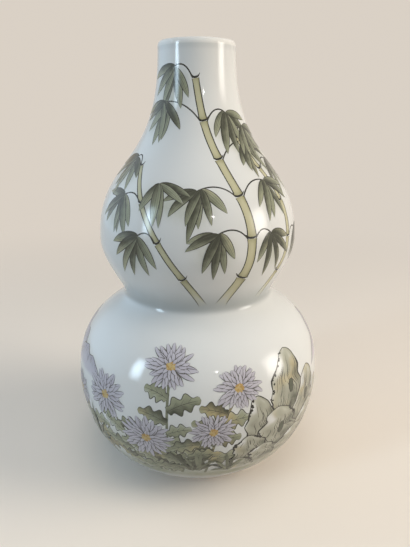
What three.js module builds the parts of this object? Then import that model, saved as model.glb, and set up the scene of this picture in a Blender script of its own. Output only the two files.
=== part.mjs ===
// A double-gourd porcelain vase, built as a potter builds it: thrown sections stacked on a foot ring
// and luted together with rings of slip.
// Millimetres, +Z up, origin on the table under the middle of the foot.
import * as THREE from "three";

// Heights, from the table up: each one lifts everything above it
const FOOT_HEIGHT = 5;
const LOWER_BOWL_RISE = 69; // foot ring to the widest line of the lower bulb
const LOWER_SHOULDER_RISE = 62.5; // widest line of the lower bulb to the waist
const UPPER_BOWL_RISE = 39.5; // waist to the widest line of the upper bulb
const UPPER_SHOULDER_RISE = 88; // widest line of the upper bulb to the neck joint
const NECK_LENGTH = 38; // neck joint to the spring of the lip
const LIP_RISE = 3.5; // spring of the lip to its crown

// Outside radii
const FOOT_RADIUS = 50;
const LOWER_RADIUS = 91.5;
const WAIST_RADIUS = 55;
const UPPER_RADIUS = 70.5;
const NECK_RADIUS = 26; // at the lip

// Thicknesses
const WALL = 4.5; // every thrown wall
const FLOOR = 5.5; // middle of the floor
const FOOT_WALL = 6; // width of the foot ring
const FOOT_TAPER = 1.5; // how far the foot ring leans in towards the table
const FOOT_BEVEL = 1; // trimmed edges of the standing face

// Slip joints: a thin web between two flat section ends, and a bead pressed along the inside
const SLIP = 0.8; // height of the web
const BEAD_REACH = 2.5; // bead's half height
const BEAD_DEPTH = 1.6; // how far the bead stands into the vase
const LUTE_CLEARANCE = 0.1; // between slip and clay

// Fullness: how far a curve's handle reaches, as a share of its own section's rise
const BOWL_FLARE = THREE.MathUtils.degToRad(14); // slope of the lower bowl where it leaves the foot
const LOWER_BOWL_FULLNESS = { start: 0.387, end: 0.483 };
const LOWER_SHOULDER_FULLNESS = { start: 0.774, end: 0.174 };
const UPPER_BOWL_FULLNESS = { start: 0.141, end: 0.392 };
const SWEEP_FULLNESS = { start: 0.445, end: 0.625 };

// Facets
const AROUND = 40;
const CURVE_STEPS = 9;
const LIP_STEPS = 6;
const BEAD_STEPS = 4;
const FINEST_HALVING = 1e-9; // where the search for a height along a curve ends

const TRIM = SLIP / 2 + LUTE_CLEARANCE; // what each section gives up to the slip at a joint
const LAND = BEAD_REACH + LUTE_CLEARANCE; // straight inside wall that the bead is pressed on
const UPRIGHT = new THREE.Vector2(0, 1);

const glaze = new THREE.MeshStandardMaterial({ color: 0xe3e4e1, roughness: 0.12, metalness: 0 });
const slip = new THREE.MeshStandardMaterial({ color: 0xdedbd4, roughness: 0.6, metalness: 0 });
const biscuit = new THREE.MeshStandardMaterial({ color: 0xcdbba3, roughness: 0.85, metalness: 0 });

function at(radius, height) {
  return new THREE.Vector2(radius, height);
}

// A curve from one radius to another over a rise, upright at the top and leaving the bottom along `leaving`
function flank(fromRadius, toRadius, rise, fullness, leaving = UPRIGHT) {
  const start = at(fromRadius, 0);
  const end = at(toRadius, rise);
  const startHandle = start.clone().addScaledVector(leaving, fullness.start * rise);
  const endHandle = end.clone().addScaledVector(UPRIGHT, -fullness.end * rise);
  return new THREE.CubicBezierCurve(start, startHandle, endHandle, end);
}

// The parameter at which a rising curve reaches a height, by halving
function parameterAt(curve, height) {
  let low = 0;
  let high = 1;
  while (high - low > FINEST_HALVING) {
    const middle = (low + high) / 2;
    if (curve.getPoint(middle).y < height) low = middle;
    else high = middle;
  }
  return low;
}

// Outside points strictly between two parameters of a curve, and the inside points one wall behind them,
// in falling order, as far as they lie between two heights
function wallPoints(curve, from, to, lowest, highest) {
  const outside = [];
  const inside = [];
  for (let i = 1; i < CURVE_STEPS; i++) {
    const t = from + ((to - from) * i) / CURVE_STEPS;
    const p = curve.getPoint(t);
    const along = curve.getTangent(t);
    outside.push(p);
    inside.unshift(at(p.x - WALL * along.y, p.y + WALL * along.x));
  }
  return { outside, inside: inside.filter((p) => p.y > lowest && p.y < highest) };
}

// A joint between two sections. A flat cut crosses a leaning wall over more than the wall's own thickness
function joint(radius, height, lean = 0) {
  return { radius, height, lean, bore: radius - WALL * Math.hypot(1, lean) };
}

// The flat end of a section above (side 1) or below (side -1) a joint, from the outside to the bead's land
function flatEnd({ radius, height, lean, bore }, side) {
  const leaning = (foot, rise) => at(foot + lean * side * rise, height + side * rise);
  return [leaning(radius, TRIM), leaning(bore, TRIM), leaning(bore, LAND)];
}

// A section open at both ends: up the outside, in over the top end, down the inside and back to its start
function ringSection(curve, bottom, top, from = 0, to = 1) {
  const { outside, inside } = wallPoints(curve, from, to, bottom.height + LAND, top.height - LAND);
  const [start, ...below] = flatEnd(bottom, 1);
  return [start, ...outside, ...flatEnd(top, -1), ...inside, ...below.reverse(), start];
}

// The lowest section: a flat underside for the foot ring, and a floor that dips to the middle
function bowlSection(curve, top) {
  const floor = TRIM + FLOOR;
  const { outside, inside } = wallPoints(curve, 0, 1, floor, top.height - LAND);
  return [at(0, TRIM), at(FOOT_RADIUS, TRIM), ...outside, ...flatEnd(top, -1), ...inside, at(0, floor)];
}

// The neck: a flat end below, and a rounded lip above
function neckSection(curve, bottom, from) {
  const spring = bottom.height + NECK_LENGTH;
  const { outside, inside } = wallPoints(curve, from, 1, bottom.height + LAND, spring);
  const [start, ...below] = flatEnd(bottom, 1);
  const lip = [];
  for (let i = 0; i <= LIP_STEPS; i++) {
    const turn = (Math.PI * i) / LIP_STEPS;
    const radius = NECK_RADIUS - (WALL / 2) * (1 - Math.cos(turn));
    lip.push(at(radius, spring + LIP_RISE * Math.sin(turn)));
  }
  return [start, ...outside, ...lip, ...inside, ...below.reverse(), start];
}

// A slip joint about height 0: the web between the section ends, and the bead that follows the inside wall
function slipRing({ radius, lean, bore }) {
  const half = SLIP / 2;
  const back = (height) => bore + lean * height - LUTE_CLEARANCE;
  const web = [at(radius - lean * half, -half), at(radius + lean * half, half), at(back(half), half)];
  const bead = [];
  for (let i = 0; i <= BEAD_STEPS; i++) {
    const turn = Math.PI * (0.5 - i / BEAD_STEPS);
    const height = BEAD_REACH * Math.sin(turn);
    bead.push(at(back(height) - BEAD_DEPTH * Math.cos(turn), height));
  }
  return [...web, ...bead, at(back(-half), -half), web[0]];
}

// The foot ring: a bevelled standing face, leaning sides and a flat top
function footRing() {
  const outer = FOOT_RADIUS - FOOT_TAPER;
  const inner = outer - FOOT_WALL;
  const top = FOOT_HEIGHT - TRIM;
  const start = at(inner + FOOT_BEVEL, 0);
  const standing = [start, at(outer - FOOT_BEVEL, 0), at(outer, FOOT_BEVEL)];
  return [...standing, at(FOOT_RADIUS, top), at(FOOT_RADIUS - FOOT_WALL, top), at(inner, FOOT_BEVEL), start];
}

// The flat ring of slip between the foot ring and the bowl
function footSlip() {
  const half = SLIP / 2;
  const inner = FOOT_RADIUS - FOOT_WALL;
  const start = at(inner, -half);
  return [start, at(FOOT_RADIUS, -half), at(FOOT_RADIUS, half), at(inner, half), start];
}

const vase = new THREE.Group();

// Turns a profile on the wheel and stands it on its own height
function place(name, profile, material, height) {
  const geometry = new THREE.LatheGeometry(profile, AROUND).rotateX(Math.PI / 2);
  const mesh = new THREE.Mesh(geometry, material);
  mesh.name = name;
  mesh.position.z = height;
  vase.add(mesh);
}

// Heights of the joints
const lowerBelly = FOOT_HEIGHT + LOWER_BOWL_RISE;
const waist = lowerBelly + LOWER_SHOULDER_RISE;
const upperBelly = waist + UPPER_BOWL_RISE;
const neckJoint = upperBelly + UPPER_SHOULDER_RISE;

// Outside curves, each standing on its own lower joint. The last one runs from the upper belly to the lip
const leavingFoot = at(Math.cos(BOWL_FLARE), Math.sin(BOWL_FLARE));
const lowerBowl = flank(FOOT_RADIUS, LOWER_RADIUS, LOWER_BOWL_RISE, LOWER_BOWL_FULLNESS, leavingFoot);
const lowerShoulder = flank(LOWER_RADIUS, WAIST_RADIUS, LOWER_SHOULDER_RISE, LOWER_SHOULDER_FULLNESS);
const upperBowl = flank(WAIST_RADIUS, UPPER_RADIUS, UPPER_BOWL_RISE, UPPER_BOWL_FULLNESS);
const sweep = flank(UPPER_RADIUS, NECK_RADIUS, UPPER_SHOULDER_RISE + NECK_LENGTH, SWEEP_FULLNESS);

const neckCut = parameterAt(sweep, UPPER_SHOULDER_RISE);
const neckSlope = sweep.getTangent(neckCut);
const neckLean = neckSlope.x / neckSlope.y;
const neckRadius = sweep.getPoint(neckCut).x;

place("foot_ring", footRing(), biscuit, 0);
place("foot_slip", footSlip(), slip, FOOT_HEIGHT);
place("base_bowl", bowlSection(lowerBowl, joint(LOWER_RADIUS, LOWER_BOWL_RISE)), glaze, FOOT_HEIGHT);
place("lower_belly_slip", slipRing(joint(LOWER_RADIUS, 0)), slip, lowerBelly);
place(
  "lower_shoulder",
  ringSection(lowerShoulder, joint(LOWER_RADIUS, 0), joint(WAIST_RADIUS, LOWER_SHOULDER_RISE)),
  glaze,
  lowerBelly,
);
place("waist_slip", slipRing(joint(WAIST_RADIUS, 0)), slip, waist);
place(
  "upper_bowl",
  ringSection(upperBowl, joint(WAIST_RADIUS, 0), joint(UPPER_RADIUS, UPPER_BOWL_RISE)),
  glaze,
  waist,
);
place("upper_belly_slip", slipRing(joint(UPPER_RADIUS, 0)), slip, upperBelly);
place(
  "upper_shoulder",
  ringSection(sweep, joint(UPPER_RADIUS, 0), joint(neckRadius, UPPER_SHOULDER_RISE, neckLean), 0, neckCut),
  glaze,
  upperBelly,
);
place("neck_slip", slipRing(joint(neckRadius, 0, neckLean)), slip, neckJoint);
place(
  "neck",
  neckSection(sweep, joint(neckRadius, UPPER_SHOULDER_RISE, neckLean), neckCut),
  glaze,
  upperBelly,
);

export default vase;
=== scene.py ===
"""Looks of a double-gourd porcelain vase: glazed sections on a foot ring, slip joints and enamel painting."""

import math

import bpy
import numpy as np
from bpy.props import FloatProperty, FloatVectorProperty, IntProperty, PointerProperty
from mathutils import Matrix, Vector


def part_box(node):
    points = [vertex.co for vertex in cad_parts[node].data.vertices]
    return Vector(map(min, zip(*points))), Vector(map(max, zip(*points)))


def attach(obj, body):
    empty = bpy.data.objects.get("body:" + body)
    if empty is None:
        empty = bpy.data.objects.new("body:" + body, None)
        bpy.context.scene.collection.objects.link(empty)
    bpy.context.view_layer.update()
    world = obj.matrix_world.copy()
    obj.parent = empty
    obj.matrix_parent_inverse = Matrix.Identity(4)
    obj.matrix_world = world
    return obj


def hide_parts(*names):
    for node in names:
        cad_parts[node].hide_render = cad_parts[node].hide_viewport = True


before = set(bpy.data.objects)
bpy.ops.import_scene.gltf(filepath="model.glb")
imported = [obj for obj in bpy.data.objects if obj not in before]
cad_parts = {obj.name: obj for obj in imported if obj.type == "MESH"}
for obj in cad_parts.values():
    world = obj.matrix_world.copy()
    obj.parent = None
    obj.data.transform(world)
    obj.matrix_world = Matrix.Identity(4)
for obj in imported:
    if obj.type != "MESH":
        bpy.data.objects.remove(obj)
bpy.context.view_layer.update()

bl_info = {
    "name": "Double-gourd vase",
    "version": (1, 0, 0),
    "blender": (4, 5, 0),
    "location": "3D View > Sidebar > Vase",
    "description": "Turns, glazes and paints a double-gourd porcelain vase",
    "category": "Object",
}

MM = 0.001
SEED = 11

# Outside curves: reaches of the two handles in shares of a curve's rise, and the lowest curve's slope
BOWL_FULLNESS = (0.387, 0.483)
BOWL_FLARE = math.radians(14)
LOWER_SHOULDER_FULLNESS = (0.774, 0.174)
UPPER_BOWL_FULLNESS = (0.141, 0.392)
SWEEP_FULLNESS = (0.445, 0.625)

# Trimmed underside and dished floor of the lowest section in metres, and the dish's share of the floor
TRIM_WIDTH = 0.0006
TRIM_HEIGHT = 0.0002
DISH_DEPTH = 0.0008
DISH_SHARE = 0.6

# Points on a profile: outside and inside of a section, lip, slip bead and bevel of the foot
OUTSIDE_POINTS = 64
INSIDE_POINTS = 40
LIP_POINTS = 33
BEAD_POINTS = 13
BEVEL_POINTS = 7

# Samples of a curve that is searched for a height or a distance
WALL_SAMPLES = 400
JOINT_SAMPLES = 2000

# Angle past which two faces meet in a sharp edge
SHARP = math.radians(35)


def joint_height(node):
    """Height of a slip joint: the middle of its ring in the CAD frame."""
    low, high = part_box(node)
    return (low[2] + high[2]) / 2


def reach(node):
    """Outside radius of a turned CAD node."""
    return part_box(node)[1][0]


def length(name, description, default):
    """A size in metres."""
    return FloatProperty(
        name=name, description=description, default=default, min=0, precision=4, unit="LENGTH"
    )


def amount(name, description, default, subtype="NONE"):
    """A plain number or an angle."""
    return FloatProperty(name=name, description=description, default=default, subtype=subtype)


def tint(name, description, default):
    """A colour."""
    return FloatVectorProperty(
        name=name, description=description, default=default, min=0, max=1, size=3, subtype="COLOR"
    )


class VaseForm(bpy.types.PropertyGroup):
    """Sizes of the turned vase, from the CAD frame where it shows them"""

    foot_radius: length("Foot radius", "Outside of the foot ring under the bowl", reach("foot_slip"))
    foot_height: length("Foot height", "Height of the underside of the bowl", joint_height("foot_slip"))
    foot_wall: length("Foot wall", "Width of the foot ring", 0.006)
    foot_taper: length("Foot taper", "How far the foot ring leans in towards its standing face", 0.0015)
    foot_bevel: length("Foot bevel", "Trimmed edges of the standing face", 0.001)
    lower_radius: length("Lower radius", "Widest radius of the lower bulb", reach("lower_belly_slip"))
    lower_belly: length("Lower belly", "Widest line of the lower bulb", joint_height("lower_belly_slip"))
    waist_radius: length("Waist radius", "Radius of the waist", reach("waist_slip"))
    waist: length("Waist", "Height of the waist", joint_height("waist_slip"))
    upper_radius: length("Upper radius", "Widest radius of the upper bulb", reach("upper_belly_slip"))
    upper_belly: length("Upper belly", "Widest line of the upper bulb", joint_height("upper_belly_slip"))
    neck_joint: length("Neck joint", "Height of the joint under the neck", joint_height("neck_slip"))
    neck_radius: length("Neck radius", "Radius of the neck at the lip", 0.026)
    lip: length("Lip", "Height of the lip's crown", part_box("neck")[1][2])
    lip_rise: length("Lip rise", "Height of the rounded part of the lip", 0.0035)
    wall: length("Wall", "Thickness of the thrown walls", 0.0045)
    floor: length("Floor", "Thickness of the floor", 0.0055)
    slip: length("Slip", "Height of the web of slip in a joint", 0.0008)
    skin: length("Skin", "Glaze that closes over the outside of a joint", 0.0005)
    bead_reach: length("Bead reach", "Half height of the bead of slip inside a joint", 0.0025)
    bead_depth: length("Bead depth", "How far the bead stands into the vase", 0.0016)
    around: IntProperty(name="Around", description="Faces around the axis", default=224, min=32)


class VasePaint(bpy.types.PropertyGroup):
    """Colours of the glaze, clay and enamels, and the weight of the brush"""

    glaze: tint("Glaze", "Clear glaze over white porcelain", (0.735, 0.745, 0.735))
    # Pooled glaze: the tint of thick glaze, darkened as painted shade at the waist and under the lip
    pooled_glaze_shade: tint("Pooled glaze", "Glaze where it lies thick", (0.40, 0.43, 0.43))
    # Painted highlight: lighter glaze over the lip's top
    lip_highlight: tint("Thin glaze", "Glaze where it runs off the lip", (0.77, 0.77, 0.75))
    slip: tint("Slip", "Joint slip under the glaze", (0.70, 0.69, 0.65))
    biscuit: tint("Biscuit", "Unglazed clay of the foot", (0.56, 0.45, 0.33))
    flash: tint("Flash", "Iron flash where the glaze ends", (0.52, 0.33, 0.18))
    ink: tint("Ink", "Drawn lines at full strength", (0.022, 0.022, 0.018))
    thin_ink: tint("Thin ink", "Drawn lines where the brush runs dry", (0.15, 0.145, 0.12))
    leaf: tint("Leaf", "Bamboo leaf enamel", (0.050, 0.055, 0.035))
    thin_leaf: tint("Thin leaf", "Bamboo leaf enamel thinned with water", (0.33, 0.35, 0.24))
    stalk: tint("Stalk", "Bamboo stalk enamel", (0.24, 0.23, 0.11))
    thin_stalk: tint("Thin stalk", "Bamboo stalk enamel thinned with water", (0.53, 0.51, 0.34))
    petal: tint("Petal", "Bloom enamel", (0.24, 0.22, 0.28))
    thin_petal: tint("Thin petal", "Bloom enamel thinned with water", (0.53, 0.51, 0.57))
    heart: tint("Heart", "Enamel in the heart of a bloom", (0.42, 0.25, 0.07))
    stone: tint("Stone", "Rock enamel in the shade", (0.085, 0.095, 0.065))
    thin_stone: tint("Thin stone", "Rock enamel in the light", (0.44, 0.44, 0.36))
    ochre: tint("Ochre", "Warm wash over leaves and rock", (0.56, 0.45, 0.22))
    hill: tint("Hill", "Distant hills", (0.33, 0.33, 0.40))
    ground: tint("Ground", "Mossy ground", (0.30, 0.32, 0.20))
    line: length("Line", "Half width of a drawn line", 0.00042)


class VaseStudio(bpy.types.PropertyGroup):
    """Camera, floor and soft light"""

    camera_back: length("Camera back", "Camera's distance in front of the vase's axis", 0.3614)
    camera_up: length("Camera up", "Camera's height above the floor", 0.2598)
    camera_pitch: amount("Camera pitch", "How far the camera looks down", 0.3085, "ANGLE")
    camera_yaw: amount("Camera yaw", "How far the camera looks to the right", 0.0152, "ANGLE")
    camera_lens: amount("Lens", "Focal length in millimetres", 32.9)
    floor: tint("Floor", "Pale floor", (0.92, 0.845, 0.76))
    bounce: tint("Bounce", "Floor as it lights the underside of the vase", (0.42, 0.385, 0.345))
    backdrop: tint("Backdrop", "Far floor and surround as the camera sees them", (0.70, 0.635, 0.56))
    surround: tint("Surround", "Soft light from all round", (0.97, 0.97, 0.97))
    surround_level: amount("Surround level", "Strength of the soft light", 0.15)


def bezier(control, t):
    """Places and unit directions along a cubic curve with two end points and the two handles between them."""
    a, b, c, d = (np.asarray(point, float) for point in control)
    t = t[:, None]
    back = 1 - t
    place = a * back**3 + 3 * b * back**2 * t + 3 * c * back * t**2 + d * t**3
    along = (b - a) * back**2 + 2 * (c - b) * back * t + (d - c) * t**2
    return place, along / np.linalg.norm(along, axis=1, keepdims=True)


def flank(low, high, fullness, leaving=math.pi / 2):
    """Controls of a curve between two (radius, height) points that starts at an angle and ends upright."""
    rise = high[1] - low[1]
    start, end = (share * rise for share in fullness)
    low_handle = low[0] + start * math.cos(leaving), low[1] + start * math.sin(leaving)
    return low, low_handle, (high[0], high[1] - end), high


def flanks(form):
    """Outside curves from the foot to the lip, by the names of their sections."""
    foot = form.foot_radius, form.foot_height
    lower = form.lower_radius, form.lower_belly
    waist = form.waist_radius, form.waist
    upper = form.upper_radius, form.upper_belly
    spring = form.neck_radius, form.lip - form.lip_rise
    return {
        "bowl": flank(foot, lower, BOWL_FULLNESS, BOWL_FLARE),
        "lower_shoulder": flank(lower, waist, LOWER_SHOULDER_FULLNESS),
        "upper_bowl": flank(waist, upper, UPPER_BOWL_FULLNESS),
        "sweep": flank(upper, spring, SWEEP_FULLNESS),
    }


class Outline:
    """The outside wall: radius, height and outward normal against the distance walked up it from the foot.

    A place on it is a turn, in radians right of the front (-Y), and a walk, in metres up from the foot.
    """

    def __init__(self, form):
        t = np.linspace(0, 1, WALL_SAMPLES)
        walls = [bezier(control, t) for control in flanks(form).values()]
        place = np.concatenate([wall[0] for wall in walls])
        along = np.concatenate([wall[1] for wall in walls])
        self.walked = np.concatenate(([0], np.cumsum(np.linalg.norm(np.diff(place, axis=0), axis=1))))
        self.radii, self.heights = place.T
        self.out, self.up = along[:, 1], -along[:, 0]

    def climb(self, height):
        """Distance walked up the wall to a height."""
        return np.interp(height, self.heights, self.walked)

    def radius(self, walk):
        return np.interp(walk, self.walked, self.radii)

    def put(self, turn, walk, lift):
        """Points on the wall: the outline's radius and height, moved out by lift, turned from the front."""
        radius = self.radius(walk) + lift * np.interp(walk, self.walked, self.out)
        height = np.interp(walk, self.walked, self.heights) + lift * np.interp(walk, self.walked, self.up)
        return np.stack((radius * np.sin(turn), -radius * np.cos(turn), height), axis=-1)

    def aside(self, turn, walk):
        """Turn and walk per metre to the right of each path, square to it on the wall."""
        radius = self.radius(walk)
        right = np.gradient(turn, axis=-1) * radius
        up = np.gradient(walk, axis=-1)
        size = np.hypot(right, up)
        return up / size / radius, -right / size

    def bent(self, turn, walk, heading, bend, size, count):
        """Paths from anchors that bend steadily: the heading at share t of the way is heading + bend t."""
        angle = heading[:, None] + bend[:, None] * np.linspace(0, 1, count)
        step = (size / (count - 1))[:, None]
        right = np.cumsum(np.cos(angle) * step, axis=1) - np.cos(angle[:, :1]) * step
        up = np.cumsum(np.sin(angle) * step, axis=1) - np.sin(angle[:, :1]) * step
        walks = walk[:, None] + up
        return turn[:, None] + right / self.radius(walks), walks

    def through(self, points, count):
        """A smooth path through points given in degrees and millimetres of height, by Catmull-Rom arcs."""
        degrees, heights = np.asarray(points, float).T
        knots = np.stack((np.radians(degrees), self.climb(heights * MM)), axis=1)
        knots = np.concatenate((2 * knots[:1] - knots[1:2], knots, 2 * knots[-1:] - knots[-2:-1]))
        along = np.linspace(0, len(points) - 1, count)
        k = np.minimum(along.astype(int), len(points) - 2)
        u = (along - k)[:, None]
        a, b, c, d = knots[k], knots[k + 1], knots[k + 2], knots[k + 3]
        path = b + 0.5 * u * (c - a + u * (2 * a - 5 * b + 4 * c - d + u * (3 * (b - c) + d - a)))
        return path[:, 0], path[:, 1]


def make_mesh(name, points, faces):
    """A mesh from an (n, 3) array of points and arrays of corner indices, one row per face."""
    mesh = bpy.data.meshes.new(name)
    corners = np.concatenate([block.ravel() for block in faces])
    sides = np.concatenate([np.full(len(block), block.shape[1]) for block in faces])
    mesh.vertices.add(len(points))
    mesh.vertices.foreach_set("co", np.ascontiguousarray(points, np.float32).ravel())
    mesh.loops.add(len(corners))
    mesh.loops.foreach_set("vertex_index", corners.astype(np.int32))
    mesh.polygons.add(len(sides))
    mesh.polygons.foreach_set("loop_start", (np.cumsum(sides) - sides).astype(np.int32))
    mesh.update(calc_edges=True)
    mesh.shade_smooth()
    mesh.set_sharp_from_angle(angle=SHARP)
    return mesh


def add_piece(name, mesh, material):
    """Links a mesh into the scene with its material and lets it ride on the vase."""
    mesh.materials.append(material)
    piece = bpy.data.objects.new(name, mesh)
    bpy.context.scene.collection.objects.link(piece)
    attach(piece, "root")
    return piece


def lathe(name, profile, around):
    """Turns a (radius, height) profile about Z. It closes on itself, or starts and ends on the axis.

    A point at turn a is (radius sin a, -radius cos a, height). Profiles run up the outside, down the inside.
    """
    poles = profile[0, 0] == 0
    rings = profile[1:-1] if poles else profile
    turn = 2 * math.pi * np.arange(around) / around
    radius, height = rings[:, :1], rings[:, 1:]
    flat = np.broadcast_to(height, (len(rings), around))
    points = np.stack((radius * np.sin(turn), -radius * np.cos(turn), flat), axis=-1).reshape(-1, 3)
    index = np.arange(len(points)).reshape(len(rings), around)
    beside = np.roll(index, -1, axis=1)
    above, above_beside = np.roll(index, -1, axis=0), np.roll(beside, -1, axis=0)
    quads = np.stack((index, beside, above_beside, above), axis=-1)
    if not poles:
        return make_mesh(name, points, [quads.reshape(-1, 4)])
    first, last = len(points), len(points) + 1
    ends = np.array([[0, 0, profile[0, 1]], [0, 0, profile[-1, 1]]])
    under = np.stack((np.full(around, first), beside[0], index[0]), axis=-1)
    over = np.stack((np.full(around, last), index[-1], beside[-1]), axis=-1)
    return make_mesh(name, np.concatenate((points, ends)), [quads[:-1].reshape(-1, 4), under, over])


def eased(start, end, count):
    """Parameters from start to end, packed at both ends so that neighbouring sections meet smoothly."""
    return start + (end - start) * (1 - np.cos(np.linspace(0, math.pi, count))) / 2


def wall_rows(form, control, start, end, lowest, highest):
    """Outside points up a curve, and inside points one wall behind them, down between two heights."""
    outside, _ = bezier(control, eased(start, end, OUTSIDE_POINTS))
    place, along = bezier(control, eased(start, end, INSIDE_POINTS))
    inside = place + form.wall * np.stack((-along[:, 1], along[:, 0]), axis=1)
    inside = inside[(inside[:, 1] > lowest) & (inside[:, 1] < highest)]
    return outside, inside[::-1]


def rebate(form, edge, lean, side):
    """A section's end above (1) or below (-1) a joint: the edge of its skin, then the seat of the slip."""
    radius, height = edge
    seat = side * form.slip / 2
    bore = radius - form.wall * math.hypot(1, lean)
    inner = radius - form.skin
    seated = height + seat
    return np.array([(inner, height), (inner + lean * seat, seated), (bore + lean * seat, seated)])


def neck_cut(form):
    """Parameter of the upper sweep at the neck joint, and the wall's lean there."""
    t = np.linspace(0, 1, JOINT_SAMPLES)
    place, along = bezier(flanks(form)["sweep"], t)
    cut = np.interp(form.neck_joint, place[:, 1], t)
    return cut, np.interp(cut, t, along[:, 0] / along[:, 1])


def section_profile(form, control, end=1.0, lean=0.0):
    """A section open at both ends: up the outside, over the top end, down the inside, under the foot.

    It may end part of the way up its curve, where the wall leans.
    """
    ends, _ = bezier(control, np.array([0.0, end]))
    lowest, highest = ends[0, 1] + form.bead_reach, ends[1, 1] - form.bead_reach
    outside, inside = wall_rows(form, control, 0, end, lowest, highest)
    top = rebate(form, ends[1], lean, -1)
    foot = rebate(form, ends[0], 0, 1)
    return np.concatenate((outside, top, inside, foot[::-1]))


def bowl_profile(form):
    """The lowest section: out along its underside, up the outside, over the top end, down to the floor."""
    control = flanks(form)["bowl"]
    under = form.foot_height + form.slip / 2
    floor = under + form.floor
    outside, inside = wall_rows(form, control, 0, 1, floor, form.lower_belly - form.bead_reach)
    outside = outside[outside[:, 1] > under]
    edge = form.foot_radius
    flat = edge - TRIM_WIDTH
    underside = np.array([(0, under), (edge / 2, under), (flat, under), (edge, under + TRIM_HEIGHT)])
    top = rebate(form, (form.lower_radius, form.lower_belly), 0, -1)
    dish = np.array([(inside[-1, 0] * DISH_SHARE, floor + DISH_DEPTH), (0, floor)])
    return np.concatenate((underside, outside, top, inside, dish))


def neck_profile(form):
    """The neck: up the outside, round the lip as half an ellipse, down the inside and under the foot."""
    control = flanks(form)["sweep"]
    cut, lean = neck_cut(form)
    spring = form.lip - form.lip_rise
    outside, inside = wall_rows(form, control, cut, 1, form.neck_joint + form.bead_reach, spring)
    turn = np.linspace(0, math.pi, LIP_POINTS)
    radius = form.neck_radius - form.wall / 2 * (1 - np.cos(turn))
    lip = np.stack((radius, spring + form.lip_rise * np.sin(turn)), axis=1)
    foot = rebate(form, outside[0], lean, 1)
    return np.concatenate((outside[:-1], lip, inside, foot[::-1]))


def slip_profile(form, radius, height, lean=0.0):
    """A slip joint: a web under the glaze skin, and a half-round bead that follows the inside wall."""
    half = form.slip / 2
    bore = radius - form.wall * math.hypot(1, lean)
    turn = np.linspace(math.pi / 2, -math.pi / 2, BEAD_POINTS)
    rise = form.bead_reach * np.sin(turn)
    bead = np.stack((bore + lean * rise - form.bead_depth * np.cos(turn), height + rise), axis=1)
    outer = radius - form.skin
    web = [(outer - lean * half, height - half), (outer + lean * half, height + half), (bore, height + half)]
    return np.concatenate((web, bead, [(bore, height - half)]))


def foot_profile(form):
    """The foot ring: a standing face with rounded edges, sides that lean in towards it, and a flat top."""
    outer = form.foot_radius - form.foot_taper
    inner = outer - form.foot_wall
    bevel = form.foot_bevel
    top = form.foot_height - form.slip / 2
    turn = np.linspace(0, math.pi / 2, BEVEL_POINTS)
    outer_edge = np.stack((outer - bevel * (1 - np.sin(turn)), bevel * (1 - np.cos(turn))), axis=1)
    inner_edge = np.stack((inner + bevel * (1 - np.cos(turn)), bevel * (1 - np.sin(turn))), axis=1)
    head = [(form.foot_radius, top), (form.foot_radius - form.foot_wall, top)]
    return np.concatenate((outer_edge, head, inner_edge))


class Value:
    """A shader socket that can stand in sums. Each operator adds one Math node to the tree."""

    def __init__(self, tree, socket=None):
        self.tree = tree
        self.socket = socket

    def node(self, kind, settings=None, inputs=None, output=0):
        """Adds a node: its settings first, then a value or a link for each named or numbered socket."""
        made = self.tree.nodes.new(kind)
        for name, setting in (settings or {}).items():
            setattr(made, name, setting)
        for key, given in (inputs or {}).items():
            if isinstance(given, Value):
                self.tree.links.new(given.socket, made.inputs[key])
            else:
                made.inputs[key].default_value = given
        return Value(self.tree, made.outputs[output]) if made.outputs else made

    def other(self, output):
        """Another output of the node that this socket belongs to."""
        return Value(self.tree, self.socket.node.outputs[output])

    def math(self, operation, first, second):
        return self.node("ShaderNodeMath", {"operation": operation}, {0: first, 1: second})

    def __add__(self, other):
        return self.math("ADD", self, other)

    def __sub__(self, other):
        return self.math("SUBTRACT", self, other)

    def __rsub__(self, other):
        return self.math("SUBTRACT", other, self)

    def __mul__(self, other):
        return self.math("MULTIPLY", self, other)

    __radd__ = __add__
    __rmul__ = __mul__


def blend(start, end, factor):
    """A colour between two, by a factor from 0 to 1."""
    return factor.node("ShaderNodeMix", {"data_type": "RGBA"}, {0: factor, 6: start, 7: end}, output=2)


def colour(rgb, share=1.0):
    """A colour for a socket, darkened to a share."""
    return (*(part * share for part in rgb), 1.0)


def ramp(value, low, high):
    """0 up to low, 1 from high, and a smooth step between them."""
    limits = {"Value": value, "From Min": low, "From Max": high}
    return value.node("ShaderNodeMapRange", {"interpolation_type": "SMOOTHSTEP"}, limits)


def noise(position, scale, detail=2.0):
    """Cloudy noise from 0 to 1, with so many clouds to the metre."""
    return position.node("ShaderNodeTexNoise", {}, {"Vector": position, "Scale": scale, "Detail": detail})


def new_material(name):
    """An empty material and its object coordinates."""
    material = bpy.data.materials.new(name)
    material.use_nodes = True
    material.node_tree.nodes.clear()
    position = Value(material.node_tree).node("ShaderNodeTexCoord", output="Object")
    return material, position


def surface(position, inputs):
    """Closes a material's tree with a Principled shader."""
    shader = position.node("ShaderNodeBsdfPrincipled", {}, inputs)
    position.node("ShaderNodeOutputMaterial", {}, {"Surface": shader})


def bump(height):
    """Normals from a height in metres."""
    return height.node("ShaderNodeBump", {}, {"Height": height, "Distance": 1.0, "Strength": 1.0})


# Glaze in metres: pooled glaze and painted shade at the waist, painted highlight band and painted shade roll
# from the lip's spring, ragged flash at the foot
SHADE_POOL_UNDER = 0.004
SHADE_POOL_OVER = 0.020
LIP_HIGHLIGHT_BAND = (-0.0006, 0.0005)
LIP_ROLL_SHADE = (-0.0044, -0.0014)
FOOT_FLASH = (0.0008, 0.0024)
FLASH_RAGGED = 0.0016

# Kiln specks: radii from dark to clear in shares of a cell, and the noise from which a group shows
SPECK = (0.010, 0.026)
SPECK_SHOWS = (0.62, 0.66)

# How strongly each colours the glaze; the pool at the waist and the roll under the lip are painted shade
SHADE_POOL_TINT = 0.8
ROLL_SHADE_TINT = 0.2
CLOUD_TINT = 0.1
FLASH_TINT = 0.55
SPECK_TINT = 0.8

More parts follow.
